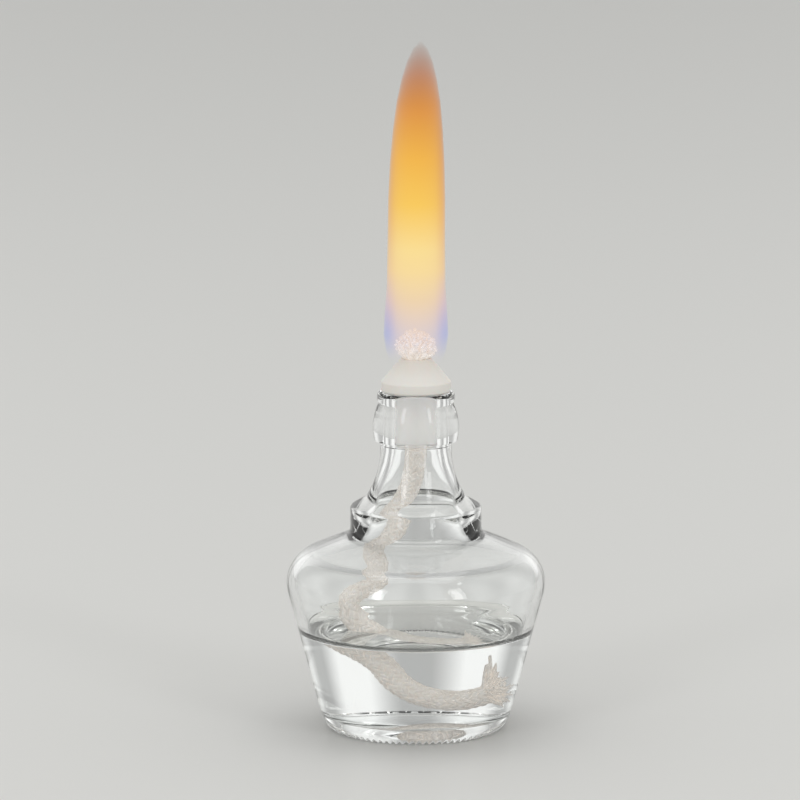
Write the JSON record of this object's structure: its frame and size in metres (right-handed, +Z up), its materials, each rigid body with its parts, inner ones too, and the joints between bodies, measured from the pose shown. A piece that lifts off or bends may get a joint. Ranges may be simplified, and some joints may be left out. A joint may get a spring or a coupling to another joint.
{
  "type": "oil lamp",
  "caption": "Glass bottle oil lamp with a drop-in porcelain wick holder, a braided cotton wick that hangs into the oil, and a stippled foot.",
  "frame": {"origin": "on the bottle's axis, in the plane that its foot ring stands on", "axes": "+Z up along the bottle's axis, through the neck and the wick; +X to the right and +Y to the back as the lamp is usually seen"},
  "size_m": [0.0815, 0.0814, 0.1265],
  "materials": {
    "clear_glass": "gloss",
    "clear_oil": "gloss",
    "white_porcelain": "satin",
    "braided_cotton": "matte"
  },
  "bodies": {
    "bottle": {"bottle": "clear_glass", "lamp_oil": "clear_oil"},
    "wick_holder": {"wick_holder": "white_porcelain"},
    "wick": {"wick_upper": "braided_cotton", "wick_tail": "braided_cotton", "wick_frayed_end": "braided_cotton"}
  },
  "joints": [
    {"name": "holder_lift", "type": "slide", "parent": "bottle", "child": "wick_holder", "axis": [0, 0, 1], "range_m": [0, 0.03], "deforming": ["wick_tail", "wick_frayed_end"]},
    {"name": "wick_feed", "type": "slide", "parent": "wick_holder", "child": "wick", "axis": [0, 0, 1], "range_m": [0, 0.005]}
  ]
}
